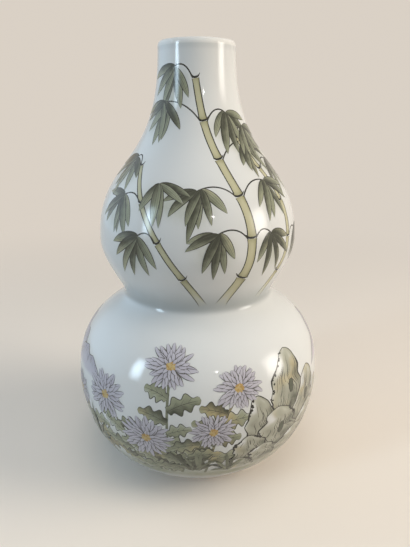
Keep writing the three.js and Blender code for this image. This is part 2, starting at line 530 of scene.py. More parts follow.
# Enamel: share of its tone in the thinnest cloud and what a cloud adds, tones over which the wash and the
# full enamel come in, noise over which the warm one does, and how strongly
PIGMENT_THIN = 0.72
PIGMENT_ADDS = 0.56
WASH_TONES = (0.0, 0.3)
FULL_TONES = (0.22, 1.0)
WARM_SHOWS = (0.5, 0.68)
WARM_TINT = 0.75

# Clay: share of its colour in the mottle, noise over which flecks show, and how strongly
MOTTLE_SHADE = 0.78
FLECK_SHOWS = (0.66, 0.74)
FLECK_TINT = 0.6

# Patterns in cells to the metre
GLAZE_CLOUDS = 16
SPECK_CELLS = 62
SPECK_GROUPS = 41
GLOSS_PATCHES = 130
THROWN_WAVES = 62
PEEL_DIMPLES = 420
PIGMENT_CLOUDS = 240
PIGMENT_GLOSS = 700
PIGMENT_GRAINS = 900
WARM_CLOUDS = 34
CLAY_MOTTLE = 90
CLAY_FLECKS = 1300
CLAY_GRAINS = 1800
CLAY_LUMPS = 160
CLAY_SHEEN = 400
FLOOR_CLOUDS = 3
FLOOR_GRAINS = 300

# Depths of relief in metres: thrown waves, peel of the glaze, pigment, and the clay's grain and lumps
THROWN = 4.5e-5
PEEL = 1.5e-6
PIGMENT = 3e-6
GRAIN = 6e-5
LUMPS = 1.2e-4

# Roughness of the glaze, slip and biscuit, what enamel adds, and what patches of glaze, enamel and clay add
GLAZE_ROUGHNESS = 0.055
SLIP_ROUGHNESS = 0.45
BISCUIT_ROUGHNESS = 0.72
WASH_ROUGHNESS = 0.04
GLAZE_PATCHES = 0.05
WASH_PATCHES = 0.06
CLAY_PATCHES = 0.1

GLAZE_IOR = 1.52


def glaze_look(position, paint, form):
    """Colour, roughness and height of the clear glaze.

    At the waist it is darker: pooled glaze and painted shade. A roll of painted shade lies under the lip,
    and a painted highlight lightens the lip's top. It is uneven like thrown clay, with fine kiln specks and
    an iron flash at the foot.
    """
    height = position.node("ShaderNodeSeparateXYZ", {}, {0: position}, output=2)
    waist, foot = form.waist, form.foot_height
    spring = form.lip - form.lip_rise
    # Painted shade: darker glaze just above the waist, partly pooled glaze
    waist_pool_shade = ramp(height, waist - SHADE_POOL_UNDER, waist) * (1 - ramp(height, waist, waist + SHADE_POOL_OVER))
    # Painted highlight: the glaze is lighter over the top of the lip
    bare = ramp(height, *(spring + edge for edge in LIP_HIGHLIGHT_BAND))
    # Painted shade: a darker roll under the lip
    roll = ramp(height, *(spring + edge for edge in LIP_ROLL_SHADE)) * (1 - bare)
    cloud = noise(position, GLAZE_CLOUDS)
    thick = waist_pool_shade * SHADE_POOL_TINT + roll * ROLL_SHADE_TINT + cloud * CLOUD_TINT
    shade = blend(colour(paint.glaze), colour(paint.pooled_glaze_shade), thick)
    shade = blend(shade, colour(paint.lip_highlight), bare)
    flash = 1 - ramp(height + cloud * FLASH_RAGGED, *(foot + edge for edge in FOOT_FLASH))
    shade = blend(shade, colour(paint.flash), flash * FLASH_TINT)
    cells = position.node("ShaderNodeTexVoronoi", {}, {"Vector": position, "Scale": SPECK_CELLS})
    chosen = ramp(noise(position, SPECK_GROUPS), *SPECK_SHOWS)
    speck = (1 - ramp(cells, *SPECK)) * chosen
    shade = blend(shade, colour(paint.thin_ink), speck * SPECK_TINT)
    roughness = GLAZE_ROUGHNESS + GLAZE_PATCHES * noise(position, GLOSS_PATCHES)
    waves = noise(position, THROWN_WAVES, 1.0) * THROWN + noise(position, PEEL_DIMPLES, 1.0) * PEEL
    return shade, roughness, waves


def glaze_material(paint, form):
    """Clear glaze over white porcelain."""
    material, position = new_material("porcelain_glaze")
    shade, roughness, waves = glaze_look(position, paint, form)
    surface(position, {"Base Color": shade, "Roughness": roughness, "Normal": bump(waves), "IOR": GLAZE_IOR})
    return material


def enamel_material(name, paint, form, thin, full, warm=None):
    """Enamel over the glaze: bare glaze at tone 0, thinned enamel at 0.3 and full enamel at 1.

    Clouds of pigment break up the tone, and slow clouds of a warmer enamel may run into the thin one.
    """
    material, position = new_material(name)
    shade, roughness, waves = glaze_look(position, paint, form)
    tone = position.node("ShaderNodeAttribute", {"attribute_name": "tone"}, output="Fac")
    strength = tone * (PIGMENT_THIN + PIGMENT_ADDS * noise(position, PIGMENT_CLOUDS, 4.0))
    wash = ramp(strength, *WASH_TONES)
    wet = colour(thin)
    if warm is not None:
        wet = blend(wet, colour(warm), ramp(noise(position, WARM_CLOUDS), *WARM_SHOWS) * WARM_TINT)
    inputs = {
        "Base Color": blend(blend(shade, wet, wash), colour(full), ramp(strength, *FULL_TONES)),
        "Roughness": roughness + wash * (WASH_ROUGHNESS + WASH_PATCHES * noise(position, PIGMENT_GLOSS)),
        "Normal": bump(waves + wash * noise(position, PIGMENT_GRAINS) * PIGMENT),
        "IOR": GLAZE_IOR,
    }
    surface(position, inputs)
    return material


def clay_material(name, base, fleck, roughness):
    """Bare fired clay: mottled, flecked with iron, with a grainy surface."""
    material, position = new_material(name)
    shade = blend(colour(base), colour(base, MOTTLE_SHADE), noise(position, CLAY_MOTTLE, 4.0))
    shade = blend(shade, colour(fleck), ramp(noise(position, CLAY_FLECKS), *FLECK_SHOWS) * FLECK_TINT)
    grain = noise(position, CLAY_GRAINS, 3.0) * GRAIN + noise(position, CLAY_LUMPS) * LUMPS
    sheen = roughness + CLAY_PATCHES * noise(position, CLAY_SHEEN)
    surface(position, {"Base Color": shade, "Roughness": sheen, "Normal": bump(grain)})
    return material


class TurnSections(bpy.types.Operator):
    """Turn the five glazed sections of the vase"""

    bl_idname = "vase.turn_sections"
    bl_label = "Glazed sections"

    def execute(self, context):
        form = context.scene.vase_form
        curves = flanks(form)
        cut, lean = neck_cut(form)
        profiles = {
            "base_bowl": bowl_profile(form),
            "lower_shoulder": section_profile(form, curves["lower_shoulder"]),
            "upper_bowl": section_profile(form, curves["upper_bowl"]),
            "upper_shoulder": section_profile(form, curves["sweep"], cut, lean),
            "neck": neck_profile(form),
        }
        glaze = glaze_material(context.scene.vase_paint, form)
        for node, profile in profiles.items():
            name = node + "_glazed"
            piece = add_piece(name, lathe(name, profile, form.around), glaze)
            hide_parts(node)
        return {"FINISHED"}


class LuteJoints(bpy.types.Operator):
    """Lay the rings of slip that join the sections"""

    bl_idname = "vase.lute_joints"
    bl_label = "Slip joints"

    def execute(self, context):
        form = context.scene.vase_form
        paint = context.scene.vase_paint
        cut, lean = neck_cut(form)
        neck = bezier(flanks(form)["sweep"], np.array([cut]))[0][0, 0]
        half = form.slip / 2
        low, high = form.foot_height - half, form.foot_height + half
        inner, outer = form.foot_radius - form.foot_wall, form.foot_radius - form.skin
        profiles = {
            "foot_slip": np.array([(inner, low), (outer, low), (outer, high), (inner, high)]),
            "lower_belly_slip": slip_profile(form, form.lower_radius, form.lower_belly),
            "waist_slip": slip_profile(form, form.waist_radius, form.waist),
            "upper_belly_slip": slip_profile(form, form.upper_radius, form.upper_belly),
            "neck_slip": slip_profile(form, neck, form.neck_joint, lean),
        }
        clay = clay_material("joint_slip", paint.slip, paint.biscuit, SLIP_ROUGHNESS)
        for node, profile in profiles.items():
            name = node + "_ring"
            piece = add_piece(name, lathe(name, profile, form.around), clay)
            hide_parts(node)
        return {"FINISHED"}


class SetFoot(bpy.types.Operator):
    """Trim the unglazed foot ring"""

    bl_idname = "vase.set_foot"
    bl_label = "Foot ring"

    def execute(self, context):
        form = context.scene.vase_form
        paint = context.scene.vase_paint
        clay = clay_material("foot_biscuit", paint.biscuit, paint.flash, BISCUIT_ROUGHNESS)
        name = "foot_ring_biscuit"
        piece = add_piece(name, lathe(name, foot_profile(form), form.around), clay)
        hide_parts("foot_ring")
        return {"FINISHED"}


# Heights over the wall in metres: a soft wash, a first coat, each coat over that, and ink over its coat
MIST = 0.016 * MM
COAT = 0.024 * MM
NEXT_COAT = 0.012 * MM
INK = 0.004 * MM

# Size of a face of a soft wash in metres: close enough to follow the wall under its thin coat
MIST_STEP = 0.0017

# Cross-sections of strokes: places across (-1 left, 1 right) and rises over the coat in metres
SUNK = -0.012 * MM
UNDERSIDE = -0.04 * MM
CROWN = 0.001 * MM
LINE = (np.array([-1.0, 0.0, 1.0]), np.array([-0.009, 0.002, -0.009]) * MM)
PETAL = (np.array([-1.0, -0.8, 0.0, 0.8, 1.0]), np.array([SUNK, 0, CROWN, 0, SUNK]))
WASH = (
    np.array([-1.0, -0.85, -0.4, 0.0, 0.4, 0.85, 1.0]),
    np.array([SUNK, 0, CROWN, CROWN, CROWN, 0, SUNK]),
)


def field(count):
    """Cross-section of a wide field: points over its top, and an underside that follows the wall."""
    across = np.linspace(-1, 1, count)
    inner = count - 2
    rise = [SUNK] + [0.0] * inner + [SUNK] + [UNDERSIDE] * inner
    return np.concatenate((across, across[-2:0:-1])), np.array(rise)


FIELD = field(25)
LOBED_LEAF = field(11)

# Shares of its full width with which a stroke is set down and lifted off
BRUSH_ENDS = (0.35, 0.12)
FOLD_ENDS = (0.9, 0.05)
EVEN_ENDS = (1, 1)
# Widths that it would grow and thin by over its whole length
GROWTH = 4
THINNING = 3

# Points along an oval, and the share of its half height at which it stops
OVAL_POINTS = 15
OVAL_TIP = 0.99


def coat(layer):
    """Height over the wall of a coat of paint, with so many coats under it."""
    return COAT + NEXT_COAT * layer


def tapered(count, ends):
    """Shares of a stroke's width along it: it grows from its first end, is full, and thins to its last."""
    t = np.linspace(0, 1, count)
    start, end = ends
    return np.clip(np.minimum(start + GROWTH * t, end + THINNING * (1 - t)), 0, 1)


def spread(values):
    """One value for each stroke, shaped to spread over its points and its cross-section."""
    return values[:, None, None]


class Layer:
    """Brushwork of one colour on the wall, gathered into one mesh with a strength from 0 to 1 at each point.

    A path or an edge is a pair of (strokes, points) arrays, turns and walks. A lift over the wall and a tone
    spread over (strokes, points, points of the cross-section).
    """

    def __init__(self, wall):
        self.wall = wall
        self.points = []
        self.faces = []
        self.tones = []
        self.count = 0

    def fill(self, left, right, section, lift, tone):
        """A closed sheet for each pair of edges: the section is carried along them, from left to right."""
        across, rise = section
        share = (1 + across) / 2
        turn, walk = (a[..., None] * (1 - share) + b[..., None] * share for a, b in zip(left, right))
        points = self.wall.put(turn, walk, lift + rise)
        shape = points.shape[:3]
        index = self.count + np.arange(np.prod(shape)).reshape(shape)
        beside = np.roll(index, -1, axis=2)
        sides = np.stack((index[:, :-1], beside[:, :-1], beside[:, 1:], index[:, 1:]), axis=-1)
        self.faces += [sides.reshape(-1, 4), index[:, 0, ::-1], index[:, -1]]
        self.points.append(points.reshape(-1, 3))
        self.tones.append(np.broadcast_to(tone, shape).ravel())
        self.count += index.size

    def brush(self, path, half, section, lift, tone):
        """A ribbon along each path, half its width to either side. Gives its left and right edges."""
        turn, walk = path
        side_turn, side_walk = self.wall.aside(turn, walk)
        left = turn - half * side_turn, walk - half * side_walk
        right = turn + half * side_turn, walk + half * side_walk
        self.fill(left, right, section, lift, tone)
        return left, right

    def stroke(self, path, half, lift, tone, ends=BRUSH_ENDS, swell=1.0):
        """A drawn line along each path, which may swell along its way and thins towards its ends."""
        width = half * tapered(path[0].shape[1], ends) * swell
        self.brush(path, width, LINE, lift, tone)

    def rims(self, edges, half, lift, tone, ends=BRUSH_ENDS, swell=1.0):
        """Drawn lines along both edges of sheets."""
        for edge in edges:
            self.stroke(edge, half, lift, tone, ends, swell)

    def oval(self, turn, walk, wide, tall, lift, tone):
        """An upright oval: its half width at share x of its half height is a circle's, sqrt(1 - x^2).

        It stops just short of its tips.
        """
        x = np.linspace(-OVAL_TIP, OVAL_TIP, OVAL_POINTS)
        walks = (walk + tall * x)[None]
        path = np.full(walks.shape, turn), walks
        return self.brush(path, wide * np.sqrt(1 - x**2), WASH, lift, tone)

    def mist(self, low, high, clouds):
        """Soft clouds of colour, on one band all round the wall between two heights.

        A cloud is a turn, a walk, a half width, a half height and a strength. It adds its strength times
        (1 - x^2)^2 (1 - y^2)^2, with x and y from -1 to 1 across it.
        """
        bottom, top = self.wall.climb(low), self.wall.climb(high)
        section = field(round((top - bottom) / MIST_STEP))
        turn = np.linspace(-math.pi, math.pi, round(2 * math.pi * self.wall.radii.max() / MIST_STEP))
        walk = top + (bottom - top) * (1 + section[0]) / 2
        tone = np.zeros((len(turn), len(walk)))
        for middle, height, wide, tall, strength in clouds:
            away = (turn[:, None] - middle + math.pi) % (2 * math.pi) - math.pi
            x = np.clip(away * self.wall.radius(walk) / wide, -1, 1)
            y = np.clip((walk - height) / tall, -1, 1)
            tone += strength * (1 - x**2) ** 2 * (1 - y**2) ** 2
        rows = np.ones((1, len(turn)))
        self.fill((turn[None], top * rows), (turn[None], bottom * rows), section, MIST, tone)

    def piece(self, name, material):
        """The layer's mesh as a piece, with its strengths in an attribute for the enamel."""
        mesh = make_mesh(name, np.concatenate(self.points), self.faces)
        strength = mesh.attributes.new("tone", "FLOAT", "POINT")
        strength.data.foreach_set("value", np.clip(np.concatenate(self.tones), 0, 1).astype(np.float32))
        add_piece(name, mesh, material)


class PaintStep:
    """What the painting steps share: sizes, colours, the wall, ink, and chance that falls the same again."""

    def prepare(self, context):
        """Reads the sizes and colours, and starts the ink and the chance."""
        self.form = context.scene.vase_form
        self.paint = context.scene.vase_paint
        self.line = self.paint.line
        self.wall = Outline(self.form)
        self.ink = Layer(self.wall)
        self.random = np.random.default_rng(SEED)

    def finish(self, layer, name, enamel, thin, full, warm=None):
        """Makes a layer a piece with its own enamel."""
        layer.piece(name, enamel_material(enamel, self.paint, self.form, thin, full, warm))

    def finish_ink(self, motif):
        """Makes the ink a piece."""
        self.finish(self.ink, motif + "_lines", motif + "_ink", self.paint.thin_ink, self.paint.ink)


# Height of the painted ground in millimetres
GROUND = 29

# Hills from back to front: middle and half span in degrees, heights of the foot and the peak in millimetres
HILLS = (
    (212, 34, 90, 116),
    (152, 30, 94, 118),
    (-88, 28, 86, 118),
    (88, 24, 88, 114),
    (108, 26, 86, 104),
    (-64, 20, 86, 104),
    (246, 28, 86, 118),
)
# Points along a crest, fold lines on a hill, points along one, and weights in shares of a line's width
CREST_POINTS = 121
HILL_FOLDS = 30
HILL_FOLD_POINTS = 9
CREST_LINE = 0.7
HILL_FOLD_LINE = 0.55

# Ground washes: degrees right of the front, then height, half width and half height in millimetres, strength
MOUNDS = (
    (-62, 30, 40, 13, 0.26),
    (-22, 28, 46, 13, 0.26),
    (12, 26, 34, 11, 0.26),
    (46, 28, 48, 13, 0.26),
    (84, 30, 34, 11, 0.26),
    (132, 30, 44, 13, 0.26),
    (178, 28, 46, 13, 0.26),
    (222, 30, 42, 12, 0.26),
    (262, 30, 38, 12, 0.26),
    (-30, 48, 52, 25, 0.15),
    (-2, 46, 34, 22, 0.13),
    (40, 60, 46, 28, 0.12),
    (178, 48, 56, 26, 0.14),
)
# Foot and top of their band in metres, over the foot ring and over the lower bulb's widest line
GROUND_FOOT = 0.003
GROUND_TOP = 0.008


class PaintHills(PaintStep, bpy.types.Operator):
    """Wash in the distant hills and the ground"""

    bl_idname = "vase.paint_hills"
    bl_label = "Hills and ground"

    def execute(self, context):
        self.prepare(context)
        form, paint = self.form, self.paint
        hills, ground = Layer(self.wall), Layer(self.wall)
        for order, hill in enumerate(HILLS):
            self.hill(hills, coat(order), *hill)
        clouds = [
            (math.radians(degrees), self.wall.climb(height * MM), wide * MM, tall * MM, strength)
            for degrees, height, wide, tall, strength in MOUNDS
        ]
        ground.mist(form.foot_height + GROUND_FOOT, form.lower_belly + GROUND_TOP, clouds)
        self.finish(hills, "hill_wash", "hill_enamel", paint.thin_petal, paint.hill)
        self.finish(ground, "ground_wash", "ground_enamel", paint.thin_leaf, paint.ground)
        self.finish_ink("hill")
        return {"FINISHED"}

    def hill(self, hills, lift, middle, span, foot, peak):
        """A hill with an inked crest, washed from strong at the crest to nothing at the foot.

        At share t of its half span the crest is at (1 - |t|^1.5)^1.15 of its height, with two waves on it.
        """
        t = np.linspace(-1, 1, CREST_POINTS)
        slow, quick = self.random.uniform(0, 6, 2)
        wave = 0.15 * np.sin(6 * t + slow) + 0.05 * np.sin(15 * t + quick)
        rise = np.clip((1 - np.abs(t) ** 1.5) ** 1.15 * (1 + wave), 0.01, None)
        turn = np.radians(middle + span * t)[None]
        low = np.full(turn.shape, self.wall.climb(foot * MM))
        high = low + (self.wall.climb(peak * MM) - low) * rise
        hills.fill((turn, high), (turn, low), FIELD, lift, 0.75 * ((1 - FIELD[0]) / 2) ** 0.8)
        self.ink.stroke((turn, high), self.line * CREST_LINE, lift + INK, 0.4, swell=1 + 0.4 * np.sin(13 * t))
        self.folds(turn[0], low[0, 0], high[0], lift)

    def folds(self, turn, foot, crest, lift):
        """Fold lines on a hill: each starts under its crest and falls away from its middle."""
        shape = HILL_FOLDS, 1
        whole = np.linspace(0, 1, len(turn))
        u = np.linspace(0, 1, HILL_FOLD_POINTS)
        start = self.random.uniform(0.14, 0.86, shape)
        across = start + 0.22 * (start - 0.5) * u
        share = self.random.uniform(0.75, 0.97, shape) - self.random.uniform(0.12, 0.4, shape) * u
        walk = foot + share * (np.interp(across, whole, crest) - foot)
        tone = self.random.uniform(0.16, 0.36, shape)[..., None]
        path = np.interp(across, whole, turn), walk
        self.ink.stroke(path, self.line * HILL_FOLD_LINE, lift + INK, tone, FOLD_ENDS)


# Stones from back to front: degrees right of the front, then height of the foot, half width, height and lean
# to the right in millimetres, and 1 for a hollow
STONES = (
    (40, 55, 17, 58, 6, 1),
    (28, 47, 12, 42, -5, 0),
    (53, 47, 15, 47, 7, 1),
    (65, 44, 12, 36, 5, 0),
    (38, 37, 20, 40, -4, 1),
    (24, 35, 14, 27, -4, 0),
    (57, 35, 17, 32, 5, 0),
    (71, 33, 12, 22, 4, 0),
    (31, 31, 14, 20, -2, 0),
    (48, 31, 17, 23, 3, 0),
    (20, 30, 9, 13, -2, 0),
    (62, 30, 12, 15, 2, 0),
    (134, 46, 14, 44, -6, 1),
    (146, 42, 12, 34, 4, 0),
    (124, 37, 13, 30, -5, 0),
    (137, 32, 16, 26, 3, 0),
    (117, 31, 11, 17, -3, 0),
    (150, 31, 10, 15, 2, 0),
)
# Points up a stone and along a fold line, and weights in shares of a line's width
STONE_POINTS = 57
STONE_FOLD_POINTS = 13
STONE_LINE = 1.15
STONE_FOLD_LINE = 0.7
HOLLOW_LINE = 0.8
STONE_ENDS = (0.3, 0.7)

# Coats under the first stone, fewest fold lines on one, and square millimetres of stone for each more
STONE_COATS = 0.5
FEWEST_FOLDS = 10
FOLD_AREA = 26

# Fade into the ground and half sizes of a hollow in metres, and the hollow's place in shares of the stone
STONE_FADE = 0.009
HOLLOW_WIDE = 0.0022
HOLLOW_TALL = 2.2 * HOLLOW_WIDE
HOLLOW_UP = 0.55
HOLLOW_ACROSS = 0.58

# Moss: clusters on a stone, dabs in each, and its span and scatter up the stone's side in points
MOSS_CLUSTERS = 3
MOSS_DABS = 6
MOSS_SPAN = (26, 54)
MOSS_SCATTER = 4
# Dabs: points, half width and lengths in metres, headings and inset in radians
DAB_POINTS = 5
DAB_HALF = 0.0007
DAB_LENGTHS = (0.0009, 0.0016)
DAB_HEADINGS = (0.6, 2.5)
DAB_INSET = 0.02
DAB_ENDS = (0.5, 0.5)


class PaintRock(PaintStep, bpy.types.Operator):
    """Paint the garden rocks: piled stones with their outlines, hollows, folds and moss"""

    bl_idname = "vase.paint_rock"
    bl_label = "Rocks"

    def execute(self, context):
        self.prepare(context)
        paint = self.paint
        stones = Layer(self.wall)
        for order, stone in enumerate(STONES):
            self.stone(stones, coat(order + STONE_COATS), *stone)
        self.finish(stones, "rock_wash", "rock_enamel", paint.thin_stone, paint.stone, paint.ochre)
        self.finish_ink("rock")
        return {"FINISHED"}

    def stone(self, stones, lift, degrees, foot, half, tall, lean, hollow):
        """A rounded slab with a leaning top and lobed edges, pale above and dark below and to the right.

        Its half width at share u of its height is (1 - u^3)^0.6 of its widest. Its lobes are half sine waves
        with a fine zigzag. It fades out towards the painted ground.
        """
        u = np.linspace(0, 1, STONE_POINTS)
        walk = (self.wall.climb(foot * MM) + tall * MM * u)[None]
        edges = []
        for side in (-1, 1):
            first, second = self.random.uniform(0, math.pi, 2)
            lobes = 0.24 * np.abs(np.sin(6.5 * u + first)) + 0.05 * np.arcsin(np.sin(27 * u + second))
            away = lean * u**1.5 + side * half * (1 - u**3) ** 0.6 * (0.84 + lobes)
            edges.append((math.radians(degrees) + away * MM / self.wall.radius(walk), walk))
        grown = np.clip((walk[0] - self.wall.climb(GROUND * MM)) / STONE_FADE, 0, 1)[:, None]
        up, over = u[:, None], FIELD[0]
        facets = 0.10 * np.sin(17 * up + 4 * over) + 0.07 * np.sin(9 * up - 6 * over)
        shade = 0.26 + 0.18 * over + 0.66 * (1 - up) ** 1.6 + facets
        stones.fill(*edges, FIELD, lift, shade * grown)
        swell = 1 + 0.4 * np.sin(17 * u + first)
        self.ink.rims(edges, self.line * STONE_LINE, lift + INK, 0.95 * grown, STONE_ENDS, swell)
        self.folds(edges, lift, FEWEST_FOLDS + round(half * tall / FOLD_AREA))
        self.moss(edges, lift)
        if hollow:
            place = int(STONE_POINTS * HOLLOW_UP)
            left, right = (turn[0, place] for turn, _ in edges)
            turn = (1 - HOLLOW_ACROSS) * left + HOLLOW_ACROSS * right
            inside = lift + 2 * INK
            rim = stones.oval(turn, walk[0, place], HOLLOW_WIDE, HOLLOW_TALL, inside, 1.1 - 0.3 * WASH[0])
            self.ink.rims(rim, self.line * HOLLOW_LINE, inside, 0.95, EVEN_ENDS)

    def folds(self, edges, lift, count):
        """Fold lines on a stone, each at about one share of the way from the left edge to the right one."""
        shape = count, 1
        whole = np.linspace(0, 1, STONE_POINTS)
        over = self.random.uniform(0.08, 0.95, shape) ** 0.8
        first = self.random.uniform(0.12, 0.72, shape)
        part = first + self.random.uniform(0.10, 0.26, shape) * np.linspace(0, 1, STONE_FOLD_POINTS)
        over = over + 0.05 * np.sin(9 * part + 6 * over)
        left, right = (np.interp(part, whole, turn[0]) for turn, _ in edges)
        walk = np.interp(part, whole, edges[0][1][0])
        path = (1 - over) * left + over * right, walk
        tone = self.random.uniform(0.35, 0.85, shape)[..., None]
        self.ink.stroke(path, self.line * STONE_FOLD_LINE, lift + INK, tone, FOLD_ENDS)

    def moss(self, edges, lift):
        """Moss: short fat dabs in clusters along the upper edges of a stone."""
        random = self.random
        turn, walk = (np.concatenate(rows) for rows in zip(*edges))
        row = np.repeat(random.integers(0, 2, MOSS_CLUSTERS), MOSS_DABS)
        place = np.repeat(random.integers(*MOSS_SPAN, MOSS_CLUSTERS), MOSS_DABS)
        place = place + random.integers(-MOSS_SCATTER, MOSS_SCATTER + 1, len(place))
        place = np.clip(place, 0, STONE_POINTS - 1)
        heading = random.uniform(*DAB_HEADINGS, len(place))
        size = random.uniform(*DAB_LENGTHS, len(place))
        inward = np.where(row == 0, 1, -1) * random.uniform(0, DAB_INSET, len(place))
        anchor = turn[row, place] + inward, walk[row, place]
        path = self.wall.bent(*anchor, heading, 0 * size, size, DAB_POINTS)
        self.ink.stroke(path, DAB_HALF, lift + 2 * INK, 0.9, DAB_ENDS)


# Blooms: degrees right of the front, height and petal length in millimetres, and degrees of the stem's foot
BLOOMS = (
    (-67, 70, 16.0, -44),
    (-43, 82, 19.0, -27),
    (-12, 109, 17.0, -13),
    (-22, 60, 18.5, -18),
    (6, 68, 15.0, -8),
    (17, 96, 16.5, 3),
    (160, 77, 19.0, 172),
    (188, 97, 15.0, 178),
    (206, 66, 17.0, 190),
)
# Rings of petals from the outermost in: number, and reach and start in shares of the petal length
PETAL_RINGS = ((24, 1.0, 0.20), (21, 0.80, 0.16), (15, 0.60, 0.12), (9, 0.38, 0.06))
# Petal's half width in shares of the petal length, what each ring in loses of it, and a bloom's flattening
PETAL_HALF = 0.088
RING_LOSS = 0.08
FLATTENED = 0.86

# Heart's half sizes in shares of the petal length, and its seeds with their length and half width in metres
HEART_WIDE = 0.13
HEART_TALL = 0.11
SEEDS = 44
SEED_LENGTH = 0.0013
SEED_HALF = 0.0006
SEED_ENDS = (0.4, 0.4)

# Stems: half width in metres, number of leaves, and the first and the last leaf's point on the stem
STEM_HALF = 0.0009
STEM_LEAVES = 7
FIRST_LEAF = 8
LAST_LEAF = 58
STEM_ENDS = (0.9, 0.7)

# Lobed leaves: length and half width in metres, degrees from the upright, and bend in radians
LOBED_LENGTH = 0.021
LOBED_HALF = 0.0066
LOBED_TURN = 62
LOBED_BEND = 0.5

# Veins of a lobed leaf: points on the rib where they leave, turn in radians, bend back and length in shares
VEIN_STARTS = (6, 12, 18)
VEIN_TURN = 0.8
VEIN_BEND = 0.4
VEIN_SHARE = 0.2
VEIN_ENDS = (0.8, 0.1)

# Points along a stem, a lobed leaf, a vein, a petal and a seed
STEM_POINTS = 81
LOBED_POINTS = 29
VEIN_POINTS = 6
PETAL_POINTS = 11
SEED_POINTS = 5

# Weights in shares of a line's width
LEAF_LINE = 0.65
LOBED_RIB = 0.6
LOBED_VEIN = 0.4
PETAL_LINE = 0.5

# Coats under leaves, between stems, stems that take turns, coats under petals, between rings and under hearts
LOBED_COATS = 1
STEM_COATS = 2
STEM_TURNS = 5
PETAL_COATS = 11
RING_COATS = 3
HEART_COATS = 23


class PaintBlooms(PaintStep, bpy.types.Operator):
    """Paint the blooms: stems, lobed leaves, rings of petals and seeded hearts"""

    bl_idname = "vase.paint_blooms"
    bl_label = "Blooms"

    def execute(self, context):
        self.prepare(context)
        paint = self.paint
        petals, hearts, foliage = (Layer(self.wall) for _ in range(3))
        for number, (degrees, height, _, foot) in enumerate(BLOOMS):
            self.stem(foliage, degrees, height, foot, number % STEM_TURNS)
        for degrees, height, size, _ in BLOOMS:
            middle = math.radians(degrees), self.wall.climb(height * MM)
            self.petals(petals, middle, size * MM)
            self.heart(hearts, middle, size * MM)
        self.finish(petals, "bloom_petals", "petal_enamel", paint.thin_petal, paint.petal)
        self.finish(hearts, "bloom_hearts", "heart_enamel", paint.ochre, paint.heart)
        self.finish(foliage, "bloom_leaves", "foliage_enamel", paint.thin_leaf, paint.leaf, paint.ochre)
        self.finish_ink("bloom")
        return {"FINISHED"}

    def stem(self, foliage, degrees, height, foot, layer):
        """A stem from the ground to the bloom, with lobed leaves on alternate sides and veins in each leaf.

        A leaf's half width at share u of its length is sqrt(sin(pi u^0.8)) times a wave of three lobes.
        """
        wall, ink, random = self.wall, self.ink, self.random
        bow = foot + 0.35 * (degrees - foot), GROUND + 0.55 * (height - GROUND)
        turn, walk = wall.through(((foot, GROUND), bow, (degrees, height)), STEM_POINTS)
        foliage.stroke((turn[None], walk[None]), STEM_HALF, COAT, 0.6, STEM_ENDS)
        number = np.arange(STEM_LEAVES)
        at = np.linspace(FIRST_LEAF, LAST_LEAF, STEM_LEAVES).astype(int)
        side = np.where(number % 2, 1.0, -1.0)
        heading = np.radians(90 - LOBED_TURN * side) + random.normal(0, 0.2, STEM_LEAVES)
        size = LOBED_LENGTH * random.uniform(0.8, 1.15, STEM_LEAVES)
        path = wall.bent(turn[at], walk[at], heading, -LOBED_BEND * side, size, LOBED_POINTS)
        u = np.linspace(0, 1, LOBED_POINTS)
        lobes = 0.74 + 0.26 * np.cos(6.2 * math.pi * u)
        lobes = np.sqrt(np.clip(np.sin(math.pi * u**0.8), 0.0004, 1)) * lobes
        half = LOBED_HALF * np.maximum(lobes, 0.03) * random.uniform(0.85, 1.15, (STEM_LEAVES, 1))
        lift = coat(LOBED_COATS + STEM_COATS * layer + spread(number // 2 % 2))
        tone = (0.5 + 0.22 * LOBED_LEAF[0]) * spread(random.uniform(0.6, 1.3, STEM_LEAVES))
        edges = foliage.brush(path, half, LOBED_LEAF, lift, tone * (1.15 - 0.5 * u)[:, None])
        ink.rims(edges, self.line * LEAF_LINE, lift + INK, 0.75)
        ink.stroke(path, self.line * LOBED_RIB, lift + INK, 0.8)
        for start in VEIN_STARTS:
            for turned in (-VEIN_TURN, VEIN_TURN):
                begin = [rib[:, start] for rib in path]
                way = heading - LOBED_BEND * side * u[start] + turned
                bend = np.full(STEM_LEAVES, -VEIN_BEND * turned)
                vein = wall.bent(*begin, way, bend, size * VEIN_SHARE, VEIN_POINTS)
                ink.stroke(vein, self.line * LOBED_VEIN, lift + INK, 0.6, VEIN_ENDS)

    def about(self, middle, away, angle):
        """Places at a distance and an angle about a bloom's middle."""
        turn, walk = middle
        walks = walk + FLATTENED * away * np.sin(angle)
        return turn + away * np.cos(angle) / self.wall.radius(walks), walks

    def petals(self, petals, middle, size):
        """Rings of petals, the outer ring first. Each petal curls a little and pales towards its tip.

        A petal's half width at share u of its length is sin(pi (0.1 + 0.86 u)^1.3)^0.7 of its widest.
        """
        random = self.random
        u = np.linspace(0, 1, PETAL_POINTS)
        shape = np.clip(np.sin(math.pi * (0.10 + 0.86 * u) ** 1.3), 0.05, 1) ** 0.7
        for ring, (count, reach_out, inset) in enumerate(PETAL_RINGS):
            angle = 2 * math.pi * (np.arange(count) + 0.5 * ring) / count + random.normal(0, 0.05, count)
            long = (reach_out - inset) * size * random.uniform(0.86, 1.1, count)
            long = long * (1 - 0.14 * np.sin(angle) ** 2)
            curl = random.normal(0, 0.28, count)
            path = self.wall.bent(*self.about(middle, inset * size, angle), angle, curl, long, PETAL_POINTS)
            half = PETAL_HALF * size * (1 - RING_LOSS * ring) * shape * random.uniform(0.9, 1.1, (count, 1))
            lift = coat(PETAL_COATS + RING_COATS * ring + spread(np.arange(count) % RING_COATS))
            tone = (0.85 - 0.62 * u**0.7)[:, None] * spread(random.uniform(0.7, 1.15, count))
            edges = petals.brush(path, half, PETAL, lift, tone + 0.18 * np.abs(PETAL[0]) ** 3)
            self.ink.rims(edges, self.line * PETAL_LINE, lift + INK, 0.6)

